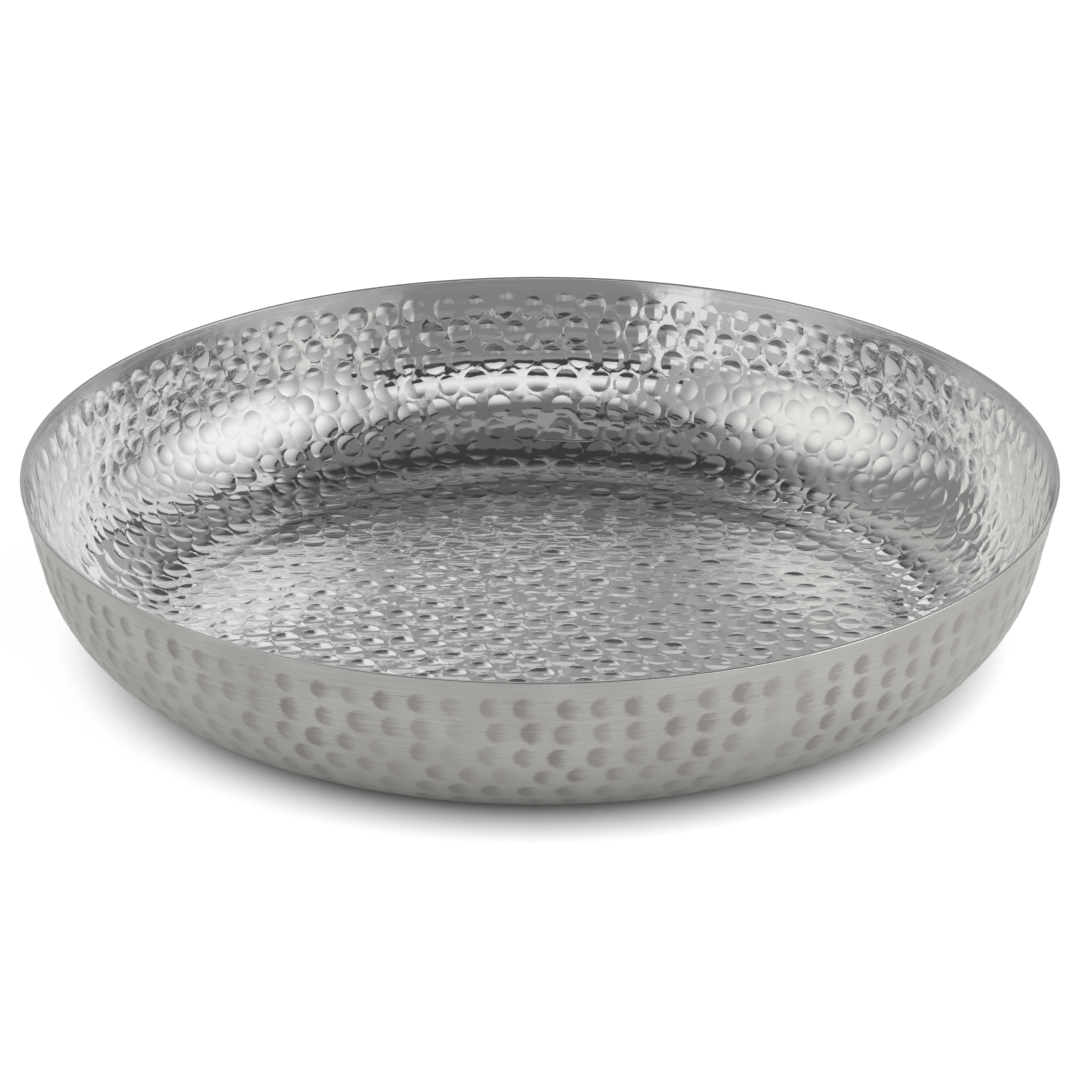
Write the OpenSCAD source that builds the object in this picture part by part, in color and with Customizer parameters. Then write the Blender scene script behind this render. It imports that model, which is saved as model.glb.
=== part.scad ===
// Round hammered aluminium tray for serving seafood on ice.
// It is one sheet, pressed into a flat-bottomed dish, hammered all over and trimmed level at the rim.
// Millimetres. The tray stands on z = 0 with its axis on z.

/* [Dish] */
// Diameter across the outside of the rim
rim_d = 360; // [260:5:480]
// Height from the table to the top of the rim
tray_h = 64; // [50:1:110]
// Thickness of the sheet
sheet_t = 1.5; // [0.8:0.1:4]

/* [Wall] */
// Outside radius of the bend from the base up into the wall
bend_r = 49; // [12:1:70]
// Outward lean of the wall from upright, in degrees
wall_lean = 13; // [0:1:35]

/* [Rim] */
// Rounding of the two corners of the trimmed edge
edge_r = 0.5; // [0.1:0.1:2]

/* [Hidden] */
$fn = 180;

// The edge's rounding stays a little under half the sheet, which leaves a narrow flat on top
edge_round_share = 0.49;
edge_round = min(edge_r, edge_round_share * sheet_t);
// The wall's own directions in the section: up along the sheet, and out square to it
wall_up = [sin(wall_lean), cos(wall_lean)];
wall_out = [cos(wall_lean), -sin(wall_lean)];

// Centres of the two roundings of the rim, level with each other
edge_z = tray_h - edge_round;
edge_out = [rim_d / 2 - edge_round, edge_z];
edge_in = edge_out - [(sheet_t - 2 * edge_round) / cos(wall_lean), 0];

// The wall's outer face leaves the outer rounding and runs down to the bend
face_top = edge_out + edge_round * wall_out;
bend_top_z = bend_r * (1 - sin(wall_lean));
face_l = (face_top.y - bend_top_z) / cos(wall_lean);
face_foot = face_top - face_l * wall_up;

// Radius of the flat base, where the bend begins
base_r = face_foot.x - bend_r * cos(wall_lean);

// Flat floor, from the axis out to the bend
module floor_section() {
    square([base_r, sheet_t]);
}

// Arc of sheet that turns the floor up into the leaning wall
module bend_section() {
    reach = 2 * bend_r;
    translate([base_r, bend_r])
        intersection() {
            difference() {
                circle(bend_r);
                circle(bend_r - sheet_t);
            }
            polygon([[0, 0], [0, -reach], [reach, -reach], reach * wall_out]);
        }
}

// Straight leaning wall with its trimmed, rounded edge
module wall_section() {
    polygon([
        face_foot,
        face_top,
        edge_out,
        [edge_out.x, tray_h],
        [edge_in.x, tray_h],
        edge_in,
        edge_in - edge_round * wall_out,
        face_foot - sheet_t * wall_out
    ]);
    for (centre = [edge_out, edge_in])
        translate(centre) circle(edge_round);
}

// The whole tray, one pressed sheet
module tray() {
    color("silver")
        rotate_extrude() {
            floor_section();
            bend_section();
            wall_section();
        }
}

tray();
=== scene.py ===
import math
import random

import bmesh
import bpy
from mathutils import Matrix, Vector, kdtree, noise


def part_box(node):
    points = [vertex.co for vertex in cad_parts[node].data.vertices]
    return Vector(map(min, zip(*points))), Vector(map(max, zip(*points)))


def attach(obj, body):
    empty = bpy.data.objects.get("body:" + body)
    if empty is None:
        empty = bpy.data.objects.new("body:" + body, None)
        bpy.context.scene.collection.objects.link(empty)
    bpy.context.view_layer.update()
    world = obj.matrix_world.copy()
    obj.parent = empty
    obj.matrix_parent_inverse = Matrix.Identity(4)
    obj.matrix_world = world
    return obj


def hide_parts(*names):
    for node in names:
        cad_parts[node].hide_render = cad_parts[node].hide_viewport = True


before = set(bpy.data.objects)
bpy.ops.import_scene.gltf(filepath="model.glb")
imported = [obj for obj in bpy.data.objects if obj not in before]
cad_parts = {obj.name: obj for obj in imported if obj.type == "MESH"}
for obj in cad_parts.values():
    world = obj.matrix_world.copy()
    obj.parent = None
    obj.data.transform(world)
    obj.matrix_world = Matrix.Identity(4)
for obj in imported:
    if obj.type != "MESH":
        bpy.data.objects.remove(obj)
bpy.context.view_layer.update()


# Hammered tray
# One disc of aluminium sheet, hammered in rings from the inside, then pressed into a dish and trimmed
# level at the rim. The inside is polished bright, the outside is left satin from the brushing wheel.
tray_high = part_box("tray")[1]
rim_r = min(tray_high.x, tray_high.y)
tray_h = tray_high.z
sheet_t = 0.0015
bend_r = 0.049
wall_lean = math.radians(13)
edge_w = 0.0005
plain_band = 0.0042

# The middle of the sheet, as stations measured along it from the centre of the base
half_t = sheet_t / 2
wall_up = Vector((math.sin(wall_lean), math.cos(wall_lean)))
wall_in = Vector((-math.cos(wall_lean), math.sin(wall_lean)))
bend_top_z = bend_r * (1 - math.sin(wall_lean))
face_rise = tray_h - edge_w * math.cos(wall_lean) - bend_top_z
base_r = rim_r - face_rise * math.tan(wall_lean) - bend_r * math.cos(wall_lean)
middle_r = bend_r - half_t
bend_centre = Vector((base_r, bend_r))
bend_end = base_r + middle_r * (math.pi / 2 - wall_lean)
wall_foot = bend_centre - middle_r * wall_in


def sheet_at(station):
    """Radius and height of the middle of the pressed sheet, and its normal on the inside."""
    if station <= base_r:
        return Vector((station, half_t)), Vector((0, 1))
    if station <= bend_end:
        turn = (station - base_r) / middle_r
        inward = Vector((-math.sin(turn), math.cos(turn)))
        return bend_centre - middle_r * inward, inward
    return wall_foot + (station - bend_end) * wall_up, wall_in


def level_station(offset):
    """Station at which a layer of the wall reaches the level of the rim."""
    return bend_end + (tray_h - offset * wall_in.y - wall_foot.y) / wall_up.y


def on_dish(station, angle, offset=0.0):
    """Point of the pressed sheet, at an offset inwards from its middle."""
    flat, inward = sheet_at(station)
    spot = flat + offset * inward
    return Vector((spot.x * math.cos(angle), spot.x * math.sin(angle), spot.y))


def share_between(start, end, value):
    """How far a value has come from start to end, from 0 to 1."""
    return min(max((value - start) / (end - start), 0), 1)


class Blow:
    """One blow of the hammer, by its station on the sheet and its angle round the dish."""

    def __init__(self, station, angle):
        self.station = station
        self.angle = angle
        self.spot = on_dish(station, angle)


# Hammer blows in rings from the rim to the centre, spaced and then nudged apart
blow_rng = random.Random(11)
rim_to_row = 0.0102
first_row = level_station(half_t) - rim_to_row
centre_gap = 0.001
row_pitch = 0.0098
blow_pitch = 0.0115
blow_room = 0.0106
stray_along = 0.13
stray_off = 0.0007
nudges = 8
nudge_share = 0.25

blows = []
row_station = first_row
while row_station > 0:
    count = max(1, round(math.tau * sheet_at(row_station)[0].x / blow_pitch))
    phase = blow_rng.random()
    for place in range(count):
        angle = math.tau * (place + phase + blow_rng.uniform(-stray_along, stray_along)) / count
        station = max(centre_gap, row_station + blow_rng.uniform(-stray_off, stray_off))
        blows.append(Blow(station, angle))
    row_station -= row_pitch


def blow_tree():
    """Search tree of the blows on the pressed sheet."""
    tree = kdtree.KDTree(len(blows))
    for index, blow in enumerate(blows):
        tree.insert(blow.spot, index)
    tree.balance()
    return tree


for _ in range(nudges):
    tree = blow_tree()
    moved = []
    for blow in blows:
        ring_r = sheet_at(blow.station)[0].x
        shift = Vector((0, 0))
        for _, near, distance in tree.find_range(blow.spot, blow_room):
            turn = math.remainder(blow.angle - blows[near].angle, math.tau)
            away = Vector((blow.station - blows[near].station, turn * ring_r))
            shift += away.normalized() * (blow_room - distance) * nudge_share
        station = min(max(blow.station + shift.x, centre_gap), first_row)
        moved.append(Blow(station, blow.angle + shift.y / ring_r))
    blows = moved

# Each mark's radius, weight and lean, gentler on the base than on the wall
mark_r = 0.0043
mark_r_spread = (0.93, 1.13)
weight_spread = (0.85, 1.25)
base_weight = 0.62
lean_spread = 0.016
base_lean = 0.5
gentle_to = 0.9 * base_r
full_from = 1.25 * base_r
for blow in blows:
    upright = share_between(gentle_to, full_from, blow.station)
    blow.radius = mark_r * blow_rng.uniform(*mark_r_spread)
    blow.weight = blow_rng.uniform(*weight_spread) * (base_weight + (1 - base_weight) * upright)
    lean = Vector((blow_rng.gauss(0, lean_spread), blow_rng.gauss(0, lean_spread)))
    blow.lean = lean * (base_lean + (1 - base_lean) * upright)

# Neighbouring marks shrink until they stop just short of each other
mark_gap = 0.0002
furthest_touch = 2.3 * mark_r
tree = blow_tree()
for index, blow in enumerate(blows):
    for _, near, distance in tree.find_range(blow.spot, furthest_touch):
        room = distance - mark_gap
        reach = blow.radius + blows[near].radius
        if near != index and reach > room:
            blow.radius *= room / reach
            blows[near].radius *= room / reach

# A blow leaves a round hollow with a raised lip inside, and a bump with a shallow groove round it outside.
# Between neighbouring marks the land falls away into a low valley.
mark_depth = 0.00028
mark_lip = (1, -0.34)
mark_slope = (0.65, 0.24)
mark_middle = (0, 0.66)
hollow_segments = 16
bump_segments = 10
wall_valley_fall = math.radians(7)
base_valley_fall = 0.6 * wall_valley_fall
valley_reach = 0.0017
valley_ease = 2 * mark_r


def mark_mesh(name, segments, rings):
    """Round mark of unit size on a flat sheet; each ring is its radius and depth, from the edge in."""
    mark = bmesh.new()
    radius, depth = rings[0]
    bmesh.ops.create_circle(
        mark, cap_ends=True, segments=segments, radius=radius, matrix=Matrix.Translation((0, 0, -depth)))
    for ring_radius, ring_depth in rings[1:-1]:
        middle = [face for face in mark.faces if len(face.verts) == segments]
        step = (radius - ring_radius) * math.cos(math.pi / segments)
        bmesh.ops.inset_individual(mark, faces=middle, thickness=step, depth=depth - ring_depth)
        radius, depth = ring_radius, ring_depth
    middle = [face for face in mark.faces if len(face.verts) == segments]
    bmesh.ops.poke(mark, faces=middle, offset=depth - rings[-1][1])
    mesh = bpy.data.meshes.new(name)
    mark.to_mesh(mesh)
    mark.free()
    return mesh


def strike(bm, layer, mark):
    """Sets a mark on one face of the blank for each blow."""
    for blow in blows:
        stretch = blow.station / sheet_at(blow.station)[0].x if blow.station > base_r else 1
        depth = mark_depth * blow.weight * blow.radius / mark_r
        place = Matrix.Rotation(blow.angle, 4, "Z") @ Matrix.Translation((blow.station, 0, layer))
        shape = Matrix.Diagonal((blow.radius, blow.radius * stretch, depth, 1))
        shape[2][0] = blow.lean.x * blow.radius
        shape[2][1] = blow.lean.y * blow.radius
        one = mark.copy()
        one.transform(place @ shape)
        bm.from_mesh(one)
        bpy.data.meshes.remove(one)


def fill_land(bm, border, lips_smooth):
    """Closes the land of a face between its marks and its border, with a valley midway between marks."""

    def at_border(edge):
        return any(vert.co.xy.length > border - mark_gap for vert in edge.verts)

    open_edges = [edge for edge in bm.edges if edge.is_boundary or edge.is_wire]
    land = bmesh.ops.triangle_fill(bm, edges=open_edges, use_beauty=True)["geom"]
    for edge in open_edges:
        edge.smooth = lips_smooth or at_border(edge)
    spans = [item for item in land if isinstance(item, bmesh.types.BMEdge) and not at_border(item)]
    cut = bmesh.ops.subdivide_edges(bm, edges=spans, cuts=1)["geom_inner"]
    valley = {item for item in cut if isinstance(item, bmesh.types.BMVert)}
    for vert in valley:
        station = vert.co.xy.length
        slopes = [edge.calc_length() for edge in vert.link_edges if edge.other_vert(vert) not in valley]
        fall = wall_valley_fall if station > base_r else base_valley_fall
        ease = share_between(border, border - valley_ease, station)
        vert.co.z -= ease * min(slopes + [valley_reach]) * math.tan(fall)


def carry_ring(bm, edges, station, layer):
    """Extrudes the blank's outer ring to another station and layer of the sheet."""
    made = bmesh.ops.extrude_edge_only(bm, edges=edges)["geom"]
    for vert in [item for item in made if isinstance(item, bmesh.types.BMVert)]:
        spoke = vert.co.xy.normalized() * station
        vert.co = (spoke.x, spoke.y, layer)
    return [edge for edge in bm.edges if edge.is_boundary]


# The flat blank: hammered inside, carried over the trimmed edge, hammered outside, edge rounded
rim_segments = 256
edge_segments = 3
hollow = mark_mesh("hollow", hollow_segments, [mark_lip, mark_slope, mark_middle])
bump = mark_mesh("bump", bump_segments, [mark_lip, mark_middle])

blank = bmesh.new()
inner_border = level_station(half_t) - plain_band
outer_border = level_station(-half_t) - plain_band
bmesh.ops.create_circle(
    blank, segments=rim_segments, radius=inner_border, matrix=Matrix.Translation((0, 0, half_t)))
strike(blank, half_t, hollow)
fill_land(blank, inner_border, False)
border_edges = [edge for edge in blank.edges if edge.is_boundary]
inner_rim = carry_ring(blank, border_edges, level_station(half_t), half_t)
outer_rim = carry_ring(blank, inner_rim, level_station(-half_t), -half_t)
carry_ring(blank, outer_rim, outer_border, -half_t)
strike(blank, -half_t, bump)
fill_land(blank, outer_border, True)
bmesh.ops.recalc_face_normals(blank, faces=blank.faces)
if blank.calc_volume(signed=True) < 0:
    bmesh.ops.reverse_faces(blank, faces=blank.faces)
bmesh.ops.bevel(
    blank, geom=inner_rim + outer_rim, offset=edge_w, affect="EDGES", segments=edge_segments, profile=0.5,
    material=-1)

# Three finishes: faces that stand up from the flat blank belong to the trimmed edge
INSIDE, OUTSIDE, EDGE = range(3)
least_flat = 0.75
for face in blank.faces:
    face.smooth = True
    if abs(face.normal.z) < least_flat:
        face.material_index = EDGE
    else:
        face.material_index = INSIDE if face.normal.z > 0 else OUTSIDE

# How much painted shade each mark's bump gets on one side on the outside, in patches
missed_usual = 0.62
missed_patches = 0.7
missed_spread = 0.2
missed_least = 0.15
missed_most = 0.88
patch_pitch = 0.028
for blow in blows:
    patchy = noise.noise(blow.spot / patch_pitch)
    missed = missed_usual + missed_patches * patchy + blow_rng.uniform(-missed_spread, missed_spread)
    blow.missed = min(max(missed, missed_least), missed_most)

# Pressing the hammered blank into the dish, a little wavy inside, with the base lifted so that its bumps
# stand on the table. Each point keeps its place on the nearest mark for the finishes: across it, out
# from its centre, and how much painted shade the mark's bump gets on one side.
base_lift = 0.00022
wave_height = 0.00012
wave_pitch = 0.045
outside_layer = -0.3 * sheet_t
mark_place = blank.verts.layers.float_vector.new("mark_place")
for vert in blank.verts:
    station = math.hypot(vert.co.x, vert.co.y)
    angle = math.atan2(vert.co.y, vert.co.x)
    layer = vert.co.z
    spot = on_dish(station, angle)
    nearest = blows[tree.find(spot)[1]]
    across = math.remainder(angle - nearest.angle, math.tau) * sheet_at(station)[0].x / nearest.radius
    reach = math.hypot(across, (station - nearest.station) / nearest.radius)
    vert[mark_place] = (across, reach, nearest.missed)
    if layer < outside_layer:
        to_base = share_between(bend_end, base_r, station)
        layer += base_lift * to_base * to_base * (3 - 2 * to_base)
    else:
        below_rim = share_between(tray_h, tray_h - 2 * plain_band, spot.z)
        layer += wave_height * below_rim * noise.noise(spot / wave_pitch)
    vert.co = on_dish(station, angle, layer)

tray_mesh = bpy.data.meshes.new("hammered_tray")
blank.to_mesh(tray_mesh)
blank.free()
tray = bpy.data.objects.new("hammered_tray", tray_mesh)
bpy.context.collection.objects.link(tray)
tray.modifiers.new("even_shading", "WEIGHTED_NORMAL").keep_sharp = True


class Wiring:
    """Adds nodes to a node tree, with numbers set on their sockets and the rest linked."""

    def __init__(self, tree):
        self.tree = tree

    def node(self, kind, **settings):
        made = self.tree.nodes.new(kind)
        for name, value in settings.items():
            setattr(made, name, value)
        return made

    def set_or_link(self, socket, value):
        if isinstance(value, bpy.types.NodeSocket):
            self.tree.links.new(value, socket)
        else:
            socket.default_value = value

    def feed(self, node, **values):
        for name, value in values.items():
            self.set_or_link(node.inputs[name.replace("_", " ")], value)
        return node

    def math(self, operation, *values):
        made = self.node("ShaderNodeMath", operation=operation)
        for socket, value in zip(made.inputs, values):
            self.set_or_link(socket, value)
        return made.outputs[0]

    def plus(self, value, part, share):
        """A value with a share of another part added to it."""
        return self.math("ADD", value, self.math("MULTIPLY", part, share))

    def fade(self, value, start, end, low, high):
        """Smooth change from low to high as a value goes from start to end."""
        made = self.node("ShaderNodeMapRange", interpolation_type="SMOOTHSTEP")
        self.feed(made, Value=value, From_Min=start, From_Max=end, To_Min=low, To_Max=high)
        return made.outputs["Result"]

    def blend(self, share, low, high):
        """Mix of two colours, from the first at share 0 to the second at share 1."""
        made = self.node("ShaderNodeMix", data_type="RGBA")
        self.tree.links.new(share, made.inputs[0])
        for socket, colour in ((made.inputs[6], low), (made.inputs[7], high)):
            self.set_or_link(socket, (*colour, 1) if isinstance(colour, tuple) else colour)
        return made.outputs[2]


# Lines left by the wheel as the dish spins against it: long round the dish, fine across it
lines_group = bpy.data.node_groups.new("wheel_lines", "ShaderNodeTree")
for socket in ("Fineness", "Length", "Lean"):
    lines_group.interface.new_socket(socket, in_out="INPUT", socket_type="NodeSocketFloat")
lines_group.interface.new_socket("Lines", in_out="OUTPUT", socket_type="NodeSocketFloat")
wires = Wiring(lines_group)
asked = wires.node("NodeGroupInput").outputs
place = wires.node("ShaderNodeSeparateXYZ")
wires.feed(place, Vector=wires.node("ShaderNodeTexCoord").outputs["Object"])
x, y, z = place.outputs
out_r = wires.math("SQRT", wires.math("ADD", wires.math("MULTIPLY", x, x), wires.math("MULTIPLY", y, y)))
bearing = wires.math("ARCTAN2", x, wires.math("MULTIPLY", y, -1))
across = wires.plus(wires.math("ADD", out_r, z), bearing, asked["Lean"])
line_spot = wires.node("ShaderNodeCombineXYZ")
wires.feed(line_spot, X=wires.math("MULTIPLY", wires.math("DIVIDE", x, out_r), asked["Length"]))
wires.feed(line_spot, Y=wires.math("MULTIPLY", wires.math("DIVIDE", y, out_r), asked["Length"]))
wires.feed(line_spot, Z=wires.math("MULTIPLY", across, asked["Fineness"]))
line_noise = wires.node("ShaderNodeTexNoise")
wires.feed(line_noise, Vector=line_spot.outputs[0], Scale=1.0, Detail=3.0, Roughness=0.6, Distortion=0.25)
wires.feed(wires.node("NodeGroupOutput"), Lines=line_noise.outputs["Fac"])


def metal(name):
    """Bare metal, with its shader and the wiring for its finish."""
    material = bpy.data.materials.new(name)
    material.use_nodes = True
    tray_mesh.materials.append(material)
    shader = material.node_tree.nodes["Principled BSDF"]
    shader.inputs["Metallic"].default_value = 1
    return Wiring(material.node_tree), shader


def wheel_lines(wires, fineness, length, lean=0.0):
    made = wires.node("ShaderNodeGroup", node_tree=lines_group)
    wires.feed(made, Fineness=fineness, Length=length, Lean=lean)
    return made.outputs["Lines"]


def cloud(wires, scale, detail=3.0):
    """Soft patches over the metal, for smears, tarnish and dents."""
    made = wires.node("ShaderNodeTexNoise")
    wires.feed(made, Vector=wires.node("ShaderNodeTexCoord").outputs["Object"], Scale=scale, Detail=detail)
    return made.outputs["Fac"]


def height_of(wires):
    made = wires.node("ShaderNodeSeparateXYZ")
    wires.feed(made, Vector=wires.node("ShaderNodeTexCoord").outputs["Object"])
    return made.outputs["Z"]


def on_mark(wires):
    """Place on the nearest hammer mark: across it, out from its centre, and the share of painted shade on
    its bump.
    """
    made = wires.node("ShaderNodeSeparateXYZ")
    place = wires.node("ShaderNodeAttribute", attribute_name="mark_place")
    wires.feed(made, Vector=place.outputs["Vector"])
    return made.outputs


relief_depth = 0.00006


def engrave(wires, shader, relief, strength):
    """Relief in the metal's surface that is too fine for the mesh."""
    made = wires.node("ShaderNodeBump")
    wires.feed(made, Strength=strength, Distance=relief_depth, Height=relief)
    wires.feed(shader, Normal=made.outputs["Normal"])


# Polished inside: a mirror with smears, small dents and hairline scratches, duller on the plain band
mirror_clean = (0.93, 0.93, 0.935)
mirror_smeared = (0.86, 0.86, 0.855)
dent_depth = 2.2
wires, shader = metal("polished_inside")
smears = cloud(wires, scale=45)
dents = cloud(wires, scale=130, detail=1.0)
wrinkles = cloud(wires, scale=420)
streaks = wheel_lines(wires, fineness=700, length=7)
hairlines = wires.fade(wheel_lines(wires, fineness=2600, length=9, lean=0.01), 0.60, 0.74, 0, 1)
band = wires.fade(height_of(wires), tray_h - 1.6 * plain_band, tray_h - 0.6 * plain_band, 0, 1)
between_marks = wires.fade(on_mark(wires)[1], 0.98, 1.15, 0.08, 0.5)
dulling = wires.fade(streaks, 0.3, 0.7, 0.06, 0.2)
roughness = wires.plus(wires.fade(smears, 0.35, 0.7, 0.02, 0.065), band, dulling)
roughness = wires.plus(roughness, hairlines, 0.09)
relief = wires.plus(wires.math("MULTIPLY", band, streaks), hairlines, 0.06)
relief = wires.plus(relief, between_marks, wrinkles)
relief = wires.plus(relief, dents, dent_depth)
wires.feed(shader, Base_Color=wires.blend(smears, mirror_clean, mirror_smeared), Roughness=roughness)
engrave(wires, shader, relief, 1.0)

# Satin outside: brushed round and round, warm grey with tarnish and a few stray scratches. Painted shade
# darkens it towards the foot, and painted shade on one side of each mark's bump stands in for its shading
satin_dull = (0.35, 0.341, 0.325)
satin_bright = (0.41, 0.404, 0.39)
satin_foot_shade = (0.24, 0.233, 0.221)
missed_colour = (0.215, 0.202, 0.188)
missed_scuffed = (0.15, 0.142, 0.132)
foot_shade_from = 0.006
foot_shade_to = 0.046
wires, shader = metal("satin_outside")
brushing = wheel_lines(wires, fineness=1500, length=9)
stray = wires.fade(wheel_lines(wires, fineness=1900, length=14, lean=0.035), 0.64, 0.76, 0, 1)
tarnish = wires.fade(wires.plus(cloud(wires, scale=28), brushing, 0.5), 0.55, 1.0, 0, 1)
# Painted shade: the outside grows darker towards the foot
painted_foot_shade = wires.fade(height_of(wires), foot_shade_from, foot_shade_to, 1, 0)
brushed_and_foot_shade = wires.blend(tarnish, satin_dull, satin_bright)
brushed_and_foot_shade = wires.blend(painted_foot_shade, brushed_and_foot_shade, satin_foot_shade)
bump_shade_colour = wires.blend(painted_foot_shade, missed_colour, missed_scuffed)
# Painted shade on one side of each bump, inside its groove, with ragged brushed edges
across, reach, missed_share = on_mark(wires)
ragged = wires.math("SUBTRACT", wires.math("ADD", brushing, cloud(wires, scale=420)), 1.0)
shaded_side = wires.fade(wires.plus(across, ragged, 1.1), 0.95, -0.5, 0, 1)
in_groove = wires.fade(wires.plus(reach, ragged, 0.25), 0.76, 1.12, 1, 0)
missed_spots = wires.math("MULTIPLY", wires.math("MULTIPLY", shaded_side, in_groove), missed_share)
roughness = wires.plus(wires.fade(brushing, 0.25, 0.75, 0.50, 0.38), stray, -0.12)
wires.feed(shader, Base_Color=wires.blend(missed_spots, brushed_and_foot_shade, bump_shade_colour), Roughness=roughness)
engrave(wires, shader, wires.math("SUBTRACT", brushing, stray), 0.6)

# Trimmed edge: turned bright, with the cutter's lines round it
edge_dull = (0.70, 0.70, 0.69)
edge_bright = (0.86, 0.86, 0.85)
wires, shader = metal("trimmed_edge")
cutting = wheel_lines(wires, fineness=5200, length=12)
wires.feed(shader, Base_Color=wires.blend(cutting, edge_dull, edge_bright))
wires.feed(shader, Roughness=wires.fade(cutting, 0.3, 0.7, 0.30, 0.16))

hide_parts("tray")
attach(tray, "root")


# Floor
# A wide white sheet under the tray. It glows white to the eye and in the metal, but the glow fades out
# towards the tray, painting a soft shadow round its foot on top of the real one from the lights.
floor_r = 6
floor_segments = 64
floor_drop = 0.0002
floor_colour = (0.9, 0.9, 0.9, 1)
floor_glow = 0.74
shadow_full = 0.75 * rim_r
shadow_end = 0.95 * rim_r
floor_mesh = bpy.data.meshes.new("floor")
floor_bm = bmesh.new()
bmesh.ops.create_circle(
    floor_bm, cap_ends=True, segments=floor_segments, radius=floor_r,
    matrix=Matrix.Translation((0, 0, -floor_drop)))
floor_bm.to_mesh(floor_mesh)
floor_bm.free()
floor = bpy.data.objects.new("floor", floor_mesh)
bpy.context.collection.objects.link(floor)
floor_material = bpy.data.materials.new("white_floor")
floor_material.use_nodes = True
floor_mesh.materials.append(floor_material)
wires = Wiring(floor_material.node_tree)
shader = floor_material.node_tree.nodes["Principled BSDF"]
light_path = wires.node("ShaderNodeLightPath").outputs
seen = wires.math("MAXIMUM", light_path["Is Camera Ray"], light_path["Is Glossy Ray"])
seen = wires.math("MAXIMUM", seen, light_path["Is Transmission Ray"])
from_centre = wires.node("ShaderNodeVectorMath", operation="LENGTH")
wires.feed(from_centre, Vector=wires.node("ShaderNodeTexCoord").outputs["Object"])
# Painted shadow: the glow fades out round the tray's foot
glow = wires.fade(from_centre.outputs["Value"], shadow_full, shadow_end, 0.0, floor_glow)
wires.feed(shader, Base_Color=floor_colour, Roughness=0.9, Specular_IOR_Level=0.0)
wires.feed(shader, Emission_Color=(1, 1, 1, 1), Emission_Strength=wires.math("MULTIPLY", seen, glow))


# Studio light
# Pale panels stand round the tray under a dark ceiling, with dark gaps at their edges, and a low strip
# rakes along the outside from the right. Azimuth 0 is the camera's side and 90 is to the right.
world = bpy.data.worlds.new("studio")
world.use_nodes = True
bpy.context.scene.world = world
wires = Wiring(world.node_tree)
way = wires.node("ShaderNodeSeparateXYZ")
wires.feed(way, Vector=wires.node("ShaderNodeTexCoord").outputs["Generated"])
azimuth = wires.math("ARCTAN2", way.outputs["X"], wires.math("MULTIPLY", way.outputs["Y"], -1))
elevation = wires.math("ARCSINE", way.outputs["Z"])


def grey(level):
    return (level, level, level)


def inside(away, edges, soft):
    """1 between two edges in degrees and 0 beyond them, by the angle away from the middle between them."""
    half = (edges[1] - edges[0]) / 2
    return wires.fade(away, math.radians(half + soft), math.radians(half - soft), 0, 1)


def panel(light, sides, ends, colour, soft_sides, soft_ends):
    """Lays a panel over the light so far, between two azimuths and two elevations in degrees."""
    turn = wires.math("SUBTRACT", azimuth, math.radians(sum(sides) / 2))
    turn = wires.math("ABSOLUTE", wires.math("WRAP", turn, math.pi, -math.pi))
    rise = wires.math("ABSOLUTE", wires.math("SUBTRACT", elevation, math.radians(sum(ends) / 2)))
    over = wires.math("MULTIPLY", inside(turn, sides, soft_sides), inside(rise, ends, soft_ends))
    return wires.blend(over, light, colour)


# The room, with its ceiling darkest behind the tray and dim corners at the back
high_up = wires.fade(elevation, math.radians(46), math.radians(64), 0, 1)
studio = wires.blend(high_up, grey(0.38), grey(0.19))
studio = panel(studio, (130, 230), (54, 87), (0.045, 0.045, 0.047), 12, 7)
studio = panel(studio, (-134, -108), (3, 50), (0.24, 0.236, 0.23), 8, 8)
studio = panel(studio, (142, 158), (29, 48), grey(0.19), 6, 6)
studio = panel(studio, (-180, 180), (78, 95), grey(0.12), 1, 2)

# The back: a low grey wall, paler to the right, a pale board before it, a dark band above it with a
# bright upright panel
studio = panel(studio, (140, 220), (-5, 32), (0.32, 0.32, 0.325), 2, 2)
studio = panel(studio, (132, 177.4), (-5, 32), (0.39, 0.39, 0.38), 0.6, 1)
studio = panel(studio, (170, 190), (-5, 21.5), grey(0.60), 1, 0.6)
studio = panel(studio, (160, 200), (31, 62), (0.09, 0.09, 0.092), 5, 1)
studio = panel(studio, (183, 193), (26, 50), grey(0.84), 1, 0.4)
studio = panel(studio, (180.5, 184), (25, 28), grey(0.64), 0.5, 0.3)

# The sides: a large soft panel on the left and on the right
studio = panel(studio, (-100, -54), (10, 50), (0.87, 0.855, 0.83), 19, 17)
studio = panel(studio, (54, 110), (12, 48), grey(0.97), 20, 17)

# The back corners: a narrow panel with a dark gap beside it, on the left and on the right
studio = panel(studio, (-152, -143), (3, 56), (0.48, 0.465, 0.45), 3, 3)
studio = panel(studio, (-141, -137), (3, 60), (0.20, 0.195, 0.19), 1.5, 3)
studio = panel(studio, (121, 130), (3, 56), grey(0.68), 1, 3)
studio = panel(studio, (131, 136), (3, 60), grey(0.10), 0.7, 3)

# The front left and right: dark bars overhead, two low boards on the left
studio = panel(studio, (-64, 8), (57, 61), grey(0.05), 2, 0.7)
studio = panel(studio, (36, 112), (58, 61.5), grey(0.05), 2, 0.7)
studio = panel(studio, (-62, -38), (-5, 13), (0.48, 0.48, 0.475), 2, 2)
studio = panel(studio, (-39, -25), (-5, 14), (0.80, 0.80, 0.795), 1, 2)

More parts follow.
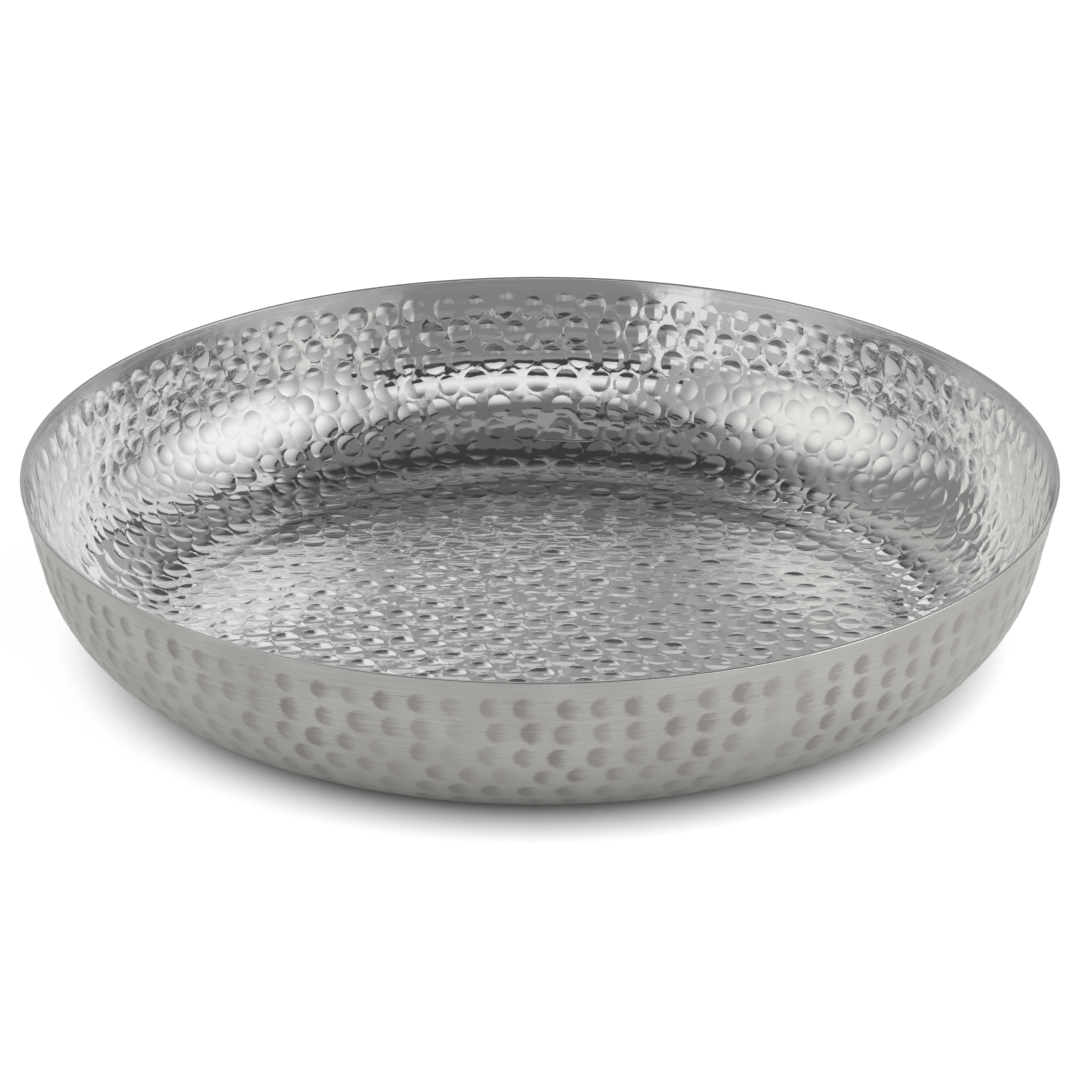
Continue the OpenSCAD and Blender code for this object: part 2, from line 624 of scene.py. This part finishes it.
# Over the camera: a dim ceiling with a paler strip and a dark bar
studio = panel(studio, (-34, 42), (50, 72), (0.165, 0.165, 0.17), 6, 6)
studio = panel(studio, (-60, 60), (68, 77), grey(0.31), 6, 1.5)
studio = panel(studio, (-58, -4), (63, 66.5), grey(0.05), 2, 0.7)

# Behind the camera: a bright panel, dimmer low down, over a dim wall, with a dark bar between them
studio = panel(studio, (-27, 37), (14, 44), (0.88, 0.88, 0.875), 1.5, 10)
studio = panel(studio, (-26, 36), (14, 29), grey(0.68), 1.5, 5)
studio = panel(studio, (-26, 32), (-5, 18), (0.235, 0.235, 0.237), 1.5, 1)
studio = panel(studio, (-26, 32), (9.5, 18), (0.29, 0.29, 0.292), 1.5, 1.5)
studio = panel(studio, (-29, 40), (16.5, 24), grey(0.055), 0.7, 0.7)
wires.feed(world.node_tree.nodes["Background"], Color=studio, Strength=1.0)

# The low strip, standing just off the floor and turned to the tray
strip_azimuth = math.radians(58)
strip_distance = 0.75
strip_w = 0.8
strip_h = 0.05
strip_lift = 0.003
strip_radiance = 20
strip_data = bpy.data.lights.new("low_strip", "AREA")
strip_data.shape = "RECTANGLE"
strip_data.size = strip_w
strip_data.size_y = strip_h
strip_data.energy = strip_radiance * math.pi * strip_w * strip_h
strip = bpy.data.objects.new("low_strip", strip_data)
strip.location = (
    strip_distance * math.sin(strip_azimuth),
    -strip_distance * math.cos(strip_azimuth),
    strip_h / 2 + strip_lift)
strip.rotation_euler = (math.pi / 2, 0, strip_azimuth)
strip.visible_camera = False
bpy.context.collection.objects.link(strip)


# Camera
# Close to the photograph's own angle, a little above the tray and straight in front of it.
view_distance = 1.8
view_elevation = math.radians(22.94)
view_pitch = math.radians(23.81)
camera_data = bpy.data.cameras.new("camera")
camera_data.sensor_width = 36
camera_data.lens = 172.7
camera = bpy.data.objects.new("camera", camera_data)
camera.location = (
    0, -view_distance * math.cos(view_elevation), tray_h + view_distance * math.sin(view_elevation))
camera.rotation_euler = (math.pi / 2 - view_pitch, 0, 0)
bpy.context.collection.objects.link(camera)
bpy.context.scene.camera = camera
bpy.context.scene.view_settings.view_transform = "Standard"
